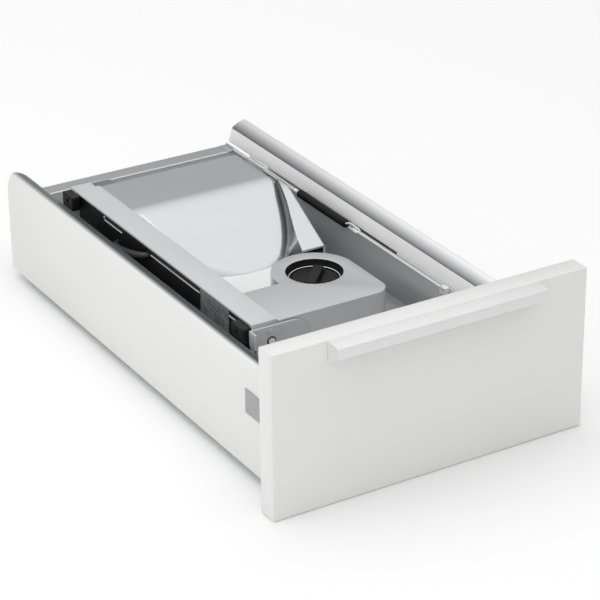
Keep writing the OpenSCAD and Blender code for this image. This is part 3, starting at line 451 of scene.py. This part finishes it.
def buildStudio(s):
    azimuth, elevation = math.radians(s["azimuth"]), math.radians(s["elevation"])
    back = Vector((math.sin(azimuth) * math.cos(elevation), -math.cos(azimuth) * math.cos(elevation),
                   math.sin(elevation)))
    data = bpy.data.cameras.new("studioCamera")
    data.lens, data.sensor_width = s["lens"], 36.0
    data.clip_start, data.clip_end = 0.05, 60.0
    camera = bpy.data.objects.new("studioCamera", data)
    bpy.context.scene.collection.objects.link(camera)
    turn = (-back).to_track_quat("-Z", "Y").to_matrix().to_4x4()
    camera.matrix_world = (Matrix.Translation(Vector(s["target"]) + back * s["distance"]) @ turn
                           @ Matrix.Rotation(math.radians(s["roll"]), 4, "Z"))
    bpy.context.scene.camera = camera

    deselectAll()
    bpy.ops.mesh.primitive_plane_add(size=s["floorSize"], location=(0, 0, cadLow.z - 0.0005))
    floor = bpy.context.active_object
    floor.name = "studioFloor"
    paper, tree, shader, place = newFinish("mattPaperFloor", s["floorColour"], Roughness=0.9)
    fibre = addNode(tree, "ShaderNodeTexNoise", {"Scale": 1000 / 4, "Detail": 2.0}, {"Vector": place})
    dress(tree, shader, fibre.outputs["Fac"], ("#FDFDFD", s["floorColour"]), (0.85, 0.95),
          fibre.outputs["Fac"], 0.01)
    floor.data.materials.append(paper)

    world = bpy.data.worlds.new("softStudio")
    bpy.context.scene.world = world
    world.use_nodes = True
    sky = world.node_tree
    direction = addNode(sky, "ShaderNodeTexCoord").outputs["Generated"]
    up = addNode(sky, "ShaderNodeSeparateXYZ", None, {"Vector": direction}).outputs["Z"]
    lift = addNode(sky, "ShaderNodeMapRange",
                   {"From Min": s["skyLow"], "From Max": s["skyHigh"], "To Min": s["skySide"],
                    "To Max": s["skyTop"], "interpolation_type": "SMOOTHSTEP"},
                   {"Value": up}).outputs["Result"]
    background = sky.nodes["Background"]
    background.inputs["Color"].default_value = (1, 1, 1, 1)
    sky.links.new(lift, background.inputs["Strength"])

    for name in ("key", "front", "side"):
        light = bpy.data.lights.new(name + "Panel", "AREA")
        light.energy, light.size = s[name + "Power"], s[name + "Size"]
        lamp = bpy.data.objects.new(name + "Panel", light)
        bpy.context.scene.collection.objects.link(lamp)
        lamp.location = s[name + "Place"]
        lamp.rotation_euler = (-Vector(s[name + "Place"])).to_track_quat("-Z", "Y").to_euler()
    bpy.context.scene.view_settings.view_transform = "Standard"
    bpy.context.scene.view_settings.look = "None"


buildStudio(studio)
print("studio built")


leadRoute = [(-86, 123, 80), (-88.8, 123, 80), (-91.6, 121.6, 80.1), (-93.8, 117.8, 80.4),
             (-94.8, 111, 81), (-95, 101, 82.4), (-95, 90, 84.6), (-94.8, 80, 87), (-93.8, 72.5, 88.8),
             (-91.6, 68.2, 89.6), (-88.8, 66.6, 89.8), (-86, 66.6, 89.8)]


# a smooth line through the points, in millimetres
def catmull(points, steps):
    line = []
    ends = [points[0]] + list(points) + [points[-1]]
    for i in range(1, len(ends) - 2):
        p0, p1, p2, p3 = (Vector(ends[i + k]) for k in (-1, 0, 1, 2))
        for k in range(steps):
            t = k / steps
            line.append(0.5 * ((2 * p1) + (p2 - p0) * t + (2 * p0 - 5 * p1 + 4 * p2 - p3) * t * t
                               + (3 * p1 - p0 - 3 * p2 + p3) * t ** 3))
    line.append(Vector(points[-1]))
    return line


def buildLead():
    line = catmull(leadRoute, 3)
    curve = bpy.data.curves.new("mainsLead", "CURVE")
    curve.dimensions = "3D"
    curve.bevel_depth = 0.003
    curve.bevel_resolution = 4
    curve.use_fill_caps = True
    spline = curve.splines.new("POLY")
    spline.points.add(len(line) - 1)
    for knot, place in zip(spline.points, line):
        knot.co = (*mm(*place), 1)
    lead = bpy.data.objects.new("mainsLead", curve)
    bpy.context.scene.collection.objects.link(lead)
    curve.materials.append(leadSheath)
    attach(lead, "slicer")
    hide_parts("mains_lead")


buildLead()
print("lead laid")


# node, finish, slot, edge radius in mm, steps round the edge
softened = [
    ("rear_panel", greyBoard, "grey_board", 0.6, 2),
    ("front_panel", whiteLacquer, "white_board", 0.9, 3),
    ("handle", handleMetal, "handle_metal", 0.5, 2),
    ("front_fixings", zincMetal, "zinc_steel", 0.4, 2),
    ("side_caps", greyCap, "cap_plastic", 0.4, 2),
    ("fold_bushes", blackPlastic, "black_plastic", 0.4, 2),
    ("bracket_rivets", bracketMetal, "bracket_steel", 0.35, 3),
    ("lock_plunger", blackPlastic, "black_plastic", 0.6, 3),
    ("guide_strip", lightTrim, "light_trim", 0.3, 2),
    ("rod_anchor", brightMetal, "bright_steel", 0.6, 3),
    ("rod_clip", brightMetal, "bright_steel", 0.3, 2),
    ("base_frame", castSilver, "silver_casting", 0.5, 3),
    ("base_cover", blackPlastic, "black_plastic", 0.3, 2),
    ("base_feet", rubberBlack, "rubber_black", 0.8, 3),
    ("rating_plate", foilPlate, "label_grey", 0.1, 1),
    ("base_trim", lightTrim, "light_trim", 0.25, 2),
    ("recess_ring", blackPlastic, "black_plastic", 0.4, 2),
    ("stop_plate", plateMetal, "plate_aluminium", 0.4, 2),
    ("switch_button", blackPlastic, "black_plastic", 0.4, 2),
    ("carriage_table", plateMetal, "plate_aluminium", 0.4, 2),
    ("food_carriage", castSilver, "silver_casting", 0.6, 2),
    ("housing_chassis", motorMetal, "motor_steel", 0.3, 1),
    ("gear_motor", motorMetal, "motor_steel", 0.6, 2),
]


def camelName(node):
    first, *rest = node.split("_")
    return first + "".join(part.capitalize() for part in rest)


for node, finish, slotName, radius, steps in softened:
    piece = roundEdges(copyOfNode(node), radius, steps)
    finishPiece(piece, camelName(node), bodyOf(node), finish, [node])
print("edges softened on", len(softened), "parts")


# parts that keep their own shape and only get a finish
plainNodes = {
    "floor_panel": greyBoard, "inner_skin_left": greyCoat, "inner_skin_right": greyCoat,
    "cabinet_rail_left": zincMetal, "cabinet_rail_right": zincMetal, "middle_rail_left": zincMetal,
    "middle_rail_right": zincMetal, "drawer_rail_left": zincMetal, "drawer_rail_right": zincMetal,
    "fixing_screws": zincMetal, "fold_pins": brightMetal, "front_rod": brightMetal,
    "lead_gland": blackPlastic, "idler_pin": brightMetal, "table_hinge_pin": brightMetal,
    "motor_pinion": gearNylon, "idler_gear": gearNylon, "blade_gear": gearNylon,
    "blade": bladeSteel, "blade_screws": brightMetal,
}
for node, finish in plainNodes.items():
    item = frame["nodes"][node]
    if item.data.materials:
        for i in range(len(item.material_slots)):
            item.material_slots[i].material = finish
    else:
        item.data.materials.append(finish)
print("finishes given to", len(plainNodes), "kept parts")


# small bright screw heads in the feet and at the end of the cover's strip: x, y, z, radius
coverScrews = {
    "places": [(-96.0, -108.0, 91.0, 1.5), (-96.0, 206.0, 91.0, 1.5), (-89.4, 148.3, 95.2, 1.1)],
    "thick": 1.2, "edge": 0.25, "steps": 2,
}


def buildCoverScrews(s):
    heads = []
    for x, y, z, radius in s["places"]:
        deselectAll()
        bpy.ops.mesh.primitive_cylinder_add(vertices=24, radius=mm(radius), depth=mm(s["thick"]),
                                            location=mm(x, y, z), rotation=(0, math.pi / 2, 0))
        head = settle(bpy.context.active_object)
        heads.append(roundEdges(head, s["edge"], s["steps"], 40))
    joinPieces(*heads)
    finishPiece(heads[0], "coverScrews", "slicer", brightMetal, smooth=40)


buildCoverScrews(coverScrews)


rearLip = {"edge": 0.4, "steps": 2, "strip": 252.7, "cornerTop": 81.4}


# corner blocks, level with the edging between them
def buildRearCorners(r):
    piece = copyOfNode("rear_corners")
    for point in piece.data.vertices:
        point.co.z = min(point.co.z, mm(r["cornerTop"]))
    roundEdges(piece, r["edge"], r["steps"])
    finishPiece(piece, "rearCorners", "drawer", greyCap, ["rear_corners"])


# grey edging whose narrow front strip takes the light trim finish, a painted highlight along its rounded
# front edge
def buildRearLip(r):
    piece = copyOfNode("rear_lip")
    bpy.ops.object.mode_set(mode="EDIT")
    bpy.ops.mesh.select_all(action="SELECT")
    bpy.ops.mesh.bisect(plane_co=mm(0, r["strip"], 0), plane_no=(0, 1, 0))
    bpy.ops.object.mode_set(mode="OBJECT")
    roundEdges(piece, r["edge"], r["steps"])
    finishPiece(piece, "rearLip", "drawer", edgingGrey, ["rear_lip"])
    # faces in front of the strip line get the light trim finish as a painted highlight
    piece.data.materials.append(lightTrim)
    for face in piece.data.polygons:
        if face.center.y * 1000 < r["strip"]:
            face.material_index = 1


buildRearLip(rearLip)
buildRearCorners(rearLip)


# the top of a side runs from inner to crest, in millimetres from the middle plane
sideShape = {"edge": 0.35, "steps": 2, "crest": 124.6, "inner": 109.4, "low": 95.0}


def buildSide(node, s):
    piece = roundEdges(copyOfNode(node), s["edge"], s["steps"], 50)
    finishPiece(piece, camelName(node), bodyOf(node), whiteCoat, [node], smooth=40)
    # the rail top takes the brushed finish with painted shade along its crest and a painted highlight at its
    # inner edge
    piece.data.materials.append(shadedRailTop[node])
    for face in piece.data.polygons:
        across, _, up = (c * 1000 for c in face.center)
        if s["inner"] < abs(across) < s["crest"] and up > s["low"] and face.normal.z > 0.3:
            face.material_index = 1


buildSide("side_left", sideShape)
buildSide("side_right", sideShape)
print("drawer sides built")


bracketShape = {"edge": 0.45, "steps": 3}
for node in ("front_bracket", "rear_bracket"):
    piece = roundEdges(copyOfNode(node), bracketShape["edge"], bracketShape["steps"], 40)
    finishPiece(piece, camelName(node), bodyOf(node), bracketMetal, [node], smooth=35)
print("brackets built")


housing = {
    "left": -66.0, "rear": 204.0, "front": 35.5, "top": 100.0, "foot": 57.2, "wall": 2.2,
    "creaseY": 131.0, "chuteSlope": 0.506, "ribY": 115.0, "ribSlope": 0.354, "creaseSoft": 6.0,
    "columns": 168, "rows": 150, "edge": 2.2, "footSlope": 1.7, "footSoft": 4.5, "footRound": 7.0,
    "rowEase": 1.12, "columnEase": 1.18, "skirt": 60.0, "valleyCurve": 0.62, "toeY": 50.0, "toeX": 42.0,
    "ribSoft": 0.6,
    # edges as pairs of y and x
    "chuteRight": [(35.5, 40.0), (46.0, 27.0), (50.0, 38.0), (54.7, 42.5), (63.7, 49.8), (74.5, 56.5),
                   (88.6, 63.4), (100.2, 68.1), (110.7, 71.6), (127.0, 77.6), (131.0, 79.5)],
    "ribLeft": [(33.7, 50.2), (46.7, 53.6), (64.1, 58.7), (81.4, 64.6), (95.3, 69.8), (122.6, 77.4),
                (131.0, 80.5)],
    "right": [(35.5, 74.3), (116.4, 83.0), (204.0, 83.0)],
}


# reads a table of y, x pairs
def between(table, y):
    if y <= table[0][0]:
        return table[0][1]
    for (y0, x0), (y1, x1) in zip(table, table[1:]):
        if y <= y1:
            return x0 + (x1 - x0) * (y - y0) / (y1 - y0)
    return table[-1][1]


# the lower of two heights, with a rounded change between them
def softLower(a, b, soft):
    h = max(0.0, min(1.0, 0.5 + 0.5 * (b - a) / soft))
    return b * (1 - h) + a * h - soft * h * (1 - h)


# outline of the chute, from its left rear corner round the front to its right rear corner
tongueOutline = [
    (-66.0, 204.0), (-66.0, 131.0), (-60.0, 112.0), (-55.0, 96.0), (-49.0, 82.0), (-41.0, 70.0),
    (-32.0, 61.0), (-15.7, 51.2), (-4.0, 45.8), (4.0, 44.5), (12.0, 44.6), (25.7, 46.7), (34.5, 50.3),
    (42.1, 54.7), (49.6, 63.7), (56.5, 74.5), (63.4, 88.6), (68.1, 100.2), (71.6, 110.7), (77.6, 127.0),
    (79.5, 131.0), (79.5, 204.0),
]


# how far a point lies outside the chute's outline, in millimetres; below zero inside it
def distanceOut(x, y):
    best, inside = 1e9, False
    count = len(tongueOutline)
    for i in range(count):
        (x0, y0), (x1, y1) = tongueOutline[i], tongueOutline[(i + 1) % count]
        if i < count - 1:
            dx, dy = x1 - x0, y1 - y0
            t = max(0.0, min(1.0, ((x - x0) * dx + (y - y0) * dy) / (dx * dx + dy * dy)))
            best = min(best, math.hypot(x - x0 - t * dx, y - y0 - t * dy))
        if (y0 > y) != (y1 > y) and x < x0 + (x1 - x0) * (y - y0) / (y1 - y0):
            inside = not inside
    return -best if inside else best


def housingHeight(x, y, h):
    chute = softLower(h["top"], h["top"] - h["chuteSlope"] * (h["creaseY"] - y), h["creaseSoft"])
    out = distanceOut(x, y)
    level = chute
    if out > -6:
        # the tongue's rounded edge falls to the blade in front and on the left
        fall = max(0.0, out + h["footSoft"])
        level = chute - h["footSlope"] * fall * fall / (fall + h["footRound"])
    if y > h["creaseY"] - 2 and x < 0:
        level = chute
    ribEdge = between(h["ribLeft"], y)
    rib = softLower(h["top"], h["top"] - h["ribSlope"] * (h["ribY"] - y), h["creaseSoft"] * h["ribSoft"])
    valley = between(h["chuteRight"], y)
    if y < h["creaseY"] + 1 and x > 10:
        low = max(h["foot"] - 2, chute)
        share = (x - valley) / max(1.5, ribEdge - valley)
        if y < h["toeY"]:
            share = (x - h["toeX"]) / (ribEdge - h["toeX"])
        curve = max(0.0, min(1.0, share))
        wall = low + (rib - low) * curve ** h["valleyCurve"]
        if share > 0:
            level = wall if share < 1 else rib
    # rounded edges at the right and at the rear
    edge = min(between(h["right"], y) - x, h["rear"] - y)
    if edge < h["edge"]:
        r = h["edge"]
        level -= r - math.sqrt(max(0.0, r * r - (r - edge) ** 2))
    return level


def buildHousing(h):
    deselectAll()
    bpy.ops.mesh.primitive_grid_add(x_subdivisions=h["columns"], y_subdivisions=h["rows"], size=1.0)
    piece = bpy.context.active_object
    heights = {}
    for point in piece.data.vertices:
        u, v = point.co.x + 0.5, point.co.y + 0.5
        v = 1 - (1 - v) ** h["rowEase"]
        u = 1 - (1 - u) ** h["columnEase"]
        y = h["front"] + (h["rear"] - h["front"]) * v
        x = h["left"] + (between(h["right"], y) - h["left"]) * u
        point.co = mm(x, y, housingHeight(x, y, h))
    piece.data.update()
    # side walls: the outline's edges, without the open front end, go straight down
    makeActive(piece)
    bpy.ops.object.mode_set(mode="EDIT")
    bpy.ops.mesh.select_mode(type="EDGE")
    bpy.ops.mesh.select_all(action="DESELECT")
    bpy.ops.mesh.select_non_manifold()
    bpy.ops.object.mode_set(mode="OBJECT")
    points = piece.data.vertices
    for edge in piece.data.edges:
        a, b = (points[i].co.y * 1000 for i in edge.vertices)
        if edge.select and max(a, b) < h["front"] + 0.05:
            edge.select = False
    bpy.ops.object.mode_set(mode="EDIT")
    bpy.ops.mesh.extrude_region_move(TRANSFORM_OT_translate={"value": (0, 0, -h["skirt"] / 1000)})
    bpy.ops.mesh.select_all(action="SELECT")
    bpy.ops.mesh.bisect(plane_co=(0, 0, h["foot"] / 1000), plane_no=(0, 0, 1), clear_inner=True,
                        use_fill=False)
    bpy.ops.object.mode_set(mode="OBJECT")
    cleanNormals(piece, 0.00005)
    applyModifier(piece, "SOLIDIFY", thickness=h["wall"] / 1000, offset=-1.0)
    finishPiece(piece, "motorHousing", "slicer", housingSilver, ["motor_housing"],
                smooth=48)


buildHousing(housing)
print("motor housing shaped")


adjuster = {"topZ": 99.5, "edge": 2.2, "steps": 5, "centre": (7.5, -56.0), "recess": 25.0}


def buildAdjuster(a):
    piece = copyOfNode("adjuster_housing")
    cx, cy = a["centre"]

    def onTop(p, q):
        return min(p.z, q.z) > a["topZ"] - 0.01

    print("adjuster edges rounded:", bevelWhere(piece, onTop, a["edge"], a["steps"]))
    finishPiece(piece, "adjusterHousing", "slicer", adjusterGrey, ["adjuster_housing"],
                smooth=30)
    # the wall of the knob's recess is a black plastic cup
    piece.data.materials.append(blackPlastic)
    for face in piece.data.polygons:
        reach = math.hypot(face.center.x * 1000 - cx, face.center.y * 1000 - cy)
        if reach < a["recess"] + 0.3 and face.center.z * 1000 < a["topZ"] - a["edge"]:
            face.material_index = 1


buildAdjuster(adjuster)


knob = {
    "centre": (7.5, -56.0), "radius": 21.0, "low": 86.9, "face": 92.9,
    "lip": 1.6, "dishWall": 0.8, "dishDepth": 0.7, "discEdge": 0.5,
    "gripWidth": 12.4, "gripLength": 38.0, "gripTop": 97.6, "gripSink": 2, "turn": 47.0,
    "endTaper": 0.93, "sideTaper": 0.72, "endRound": 2.4, "gripEdge": 0.8,
    "ringInner": 21.5, "ringOuter": 22.6, "ringZ": 93.6,
}


def buildKnob(k):
    cx, cy = k["centre"]
    deselectAll()
    bpy.ops.mesh.primitive_cylinder_add(vertices=96, radius=mm(k["radius"]), depth=mm(k["face"] - k["low"]),
                                        location=mm(cx, cy, (k["face"] + k["low"]) / 2))
    disc = settle(bpy.context.active_object)
    # a shallow dish inside a raised lip
    bpy.ops.object.mode_set(mode="EDIT")
    bpy.ops.mesh.select_mode(type="FACE")
    bpy.ops.mesh.select_all(action="DESELECT")
    bpy.ops.object.mode_set(mode="OBJECT")
    for face in disc.data.polygons:
        face.select = face.normal.z > 0.9
    bpy.ops.object.mode_set(mode="EDIT")
    bpy.ops.mesh.inset(thickness=mm(k["lip"]))
    bpy.ops.mesh.inset(thickness=mm(k["dishWall"]), depth=-mm(k["dishDepth"]))
    bpy.ops.object.mode_set(mode="OBJECT")
    roundEdges(disc, k["discEdge"], 3, 30)

    deselectAll()
    bpy.ops.mesh.primitive_cube_add(size=1.0, location=(0, 0, 0))
    grip = bpy.context.active_object
    grip.scale = mm(k["gripLength"], k["gripWidth"], k["gripTop"] - k["face"] + k["gripSink"])
    settle(grip)
    # the grip narrows towards its top and its ends are round
    for point in grip.data.vertices:
        if point.co.z > 0:
            point.co.x *= k["endTaper"]
            point.co.y *= k["sideTaper"]

    def upright(p, q):
        return abs(p.x - q.x) < 3 and abs(p.y - q.y) < 3 and abs(p.z - q.z) > 2

    bevelWhere(grip, upright, k["endRound"], 5)
    roundEdges(grip, k["gripEdge"], 3, 40)
    grip.rotation_euler = (0, 0, math.radians(k["turn"]))
    grip.location = mm(cx, cy, (k["gripTop"] + k["face"] - k["gripSink"]) / 2)
    settle(grip)
    joinPieces(disc, grip)
    finishPiece(disc, "thicknessKnob", "knob", knobPlastic, ["thickness_knob"], smooth=35)


# thin polished ring between the knob and the recess
def buildRing(k):
    cx, cy = k["centre"]
    deselectAll()
    bpy.ops.mesh.primitive_torus_add(major_segments=96, minor_segments=10, location=mm(cx, cy, k["ringZ"]),
                                     major_radius=mm((k["ringInner"] + k["ringOuter"]) / 2),
                                     minor_radius=mm((k["ringOuter"] - k["ringInner"]) / 2))
    ring = bpy.context.active_object
    finishPiece(ring, "knobTrimRing", "slicer", brightMetal, smooth=60)


buildKnob(knob)
buildRing(knob)
print("adjuster, knob and ring built")


spring = {"x": 98.9, "z": 84.4, "front": 40.0, "back": 122.0, "radius": 3.15, "wire": 0.62, "pitch": 1.45,
          "stepsPerTurn": 14}


def buildSpring(s):
    turns = int((s["back"] - s["front"]) / s["pitch"])
    deselectAll()
    bpy.ops.mesh.primitive_circle_add(vertices=8, radius=mm(s["wire"]), location=(0, 0, 0),
                                      rotation=(math.pi / 2, 0, 0))
    coil = settle(bpy.context.active_object)
    for point in coil.data.vertices:
        point.co.x += mm(s["radius"])
    # the wire's round section is laid flat, so that it faces along its path
    for point in coil.data.vertices:
        point.co.y = point.co.z
        point.co.z = 0.0
    applyModifier(coil, "SCREW", axis="Y", angle=math.tau, screw_offset=mm(s["pitch"]), iterations=turns,
                  steps=s["stepsPerTurn"], render_steps=s["stepsPerTurn"], use_merge_vertices=False)
    makeActive(coil)
    bpy.ops.object.mode_set(mode="EDIT")
    bpy.ops.mesh.select_all(action="DESELECT")
    bpy.ops.mesh.select_mode(type="EDGE")
    bpy.ops.mesh.select_non_manifold()
    bpy.ops.mesh.edge_face_add()
    bpy.ops.object.mode_set(mode="OBJECT")
    cleanNormals(coil)
    lowY = min(v.co.y for v in coil.data.vertices)
    highY = max(v.co.y for v in coil.data.vertices)
    middle = (lowY + highY) / 2
    coil.location = (mm(s["x"]), mm((s["front"] + s["back"]) / 2) - middle, mm(s["z"]))
    finishPiece(coil, "balanceSpring", "drawer", springWire, ["balance_spring"], smooth=60)


buildSpring(spring)


collar = {"low": 122.0, "high": 131.0, "radius": 2.1, "waist": 0.72, "edge": 0.35}


# a small turned fitting on the spring's line, with a groove round it
def buildCollar(s, c):
    middle = (c["low"] + c["high"]) / 2
    deselectAll()
    bpy.ops.mesh.primitive_cylinder_add(vertices=32, radius=mm(c["radius"]), depth=mm(c["high"] - c["low"]),
                                        location=mm(s["x"], middle, s["z"]), rotation=(math.pi / 2, 0, 0))
    piece = settle(bpy.context.active_object)
    for place in (0.38, 0.5, 0.62):
        bpy.ops.object.mode_set(mode="EDIT")
        bpy.ops.mesh.select_all(action="SELECT")
        bpy.ops.mesh.bisect(plane_co=mm(0, c["low"] + (c["high"] - c["low"]) * place, 0), plane_no=(0, 1, 0))
        bpy.ops.object.mode_set(mode="OBJECT")
    for point in piece.data.vertices:
        if abs(point.co.y * 1000 - middle) < 0.3:
            point.co.x = mm(s["x"]) + (point.co.x - mm(s["x"])) * c["waist"]
            point.co.z = mm(s["z"]) + (point.co.z - mm(s["z"])) * c["waist"]
    return roundEdges(piece, c["edge"], 2, 40)


# the grooved collar at the rear of the spring, and the hook at its front
def buildSpringEnds(s):
    rear = buildCollar(s, collar)
    hook = wire("hook", [(s["x"], 41.0, s["z"] + 0.6), (s["x"] + 1.8, 37.0, s["z"] + 1.6),
                         (s["x"] + 2.2, 27.0, s["z"] + 1.5), (s["x"] + 0.9, 19.0, s["z"] + 1.0),
                         (s["x"] - 1.4, 18.5, s["z"] + 0.6), (s["x"] - 2.1, 25.0, s["z"] + 0.4),
                         (s["x"] - 1.2, 33.0, s["z"] + 0.2)], 1.0)
    joinPieces(rear, hook)
    finishPiece(rear, "springFittings", "drawer", brightMetal, ["spring_ends"], smooth=45)


buildSpringEnds(spring)


# doubled wire from the spring's fitting to the rear corner, bent down into the panel
def buildRearWire(s):
    x, z = s["x"], s["z"]
    outer = [(x - 0.6, 130.5, z), (x - 0.7, 150, z), (x - 0.7, 190, z + 0.1), (x - 0.7, 240, z + 0.2),
             (x - 0.6, 246.5, z - 0.1), (x - 0.3, 249.2, z - 2.8), (x - 0.2, 249.4, z - 8),
             (x - 0.2, 249.4, z - 13)]
    inner = [(x + 0.8, 130.5, z - 0.1), (x + 1.5, 140, z), (x + 1.6, 190, z), (x + 1.6, 234, z + 0.1),
             (x + 1.4, 243, z - 0.1), (x + 1.2, 246.4, z - 2.4), (x + 1.0, 247.0, z - 7)]
    first = wire("outerWire", outer, 0.75)
    second = wire("innerWire", inner, 0.7)
    joinPieces(first, second)
    finishPiece(first, "rearRod", "drawer", brightMetal, ["rear_rod"], smooth=60)


buildRearWire(spring)
print("balance spring wound")
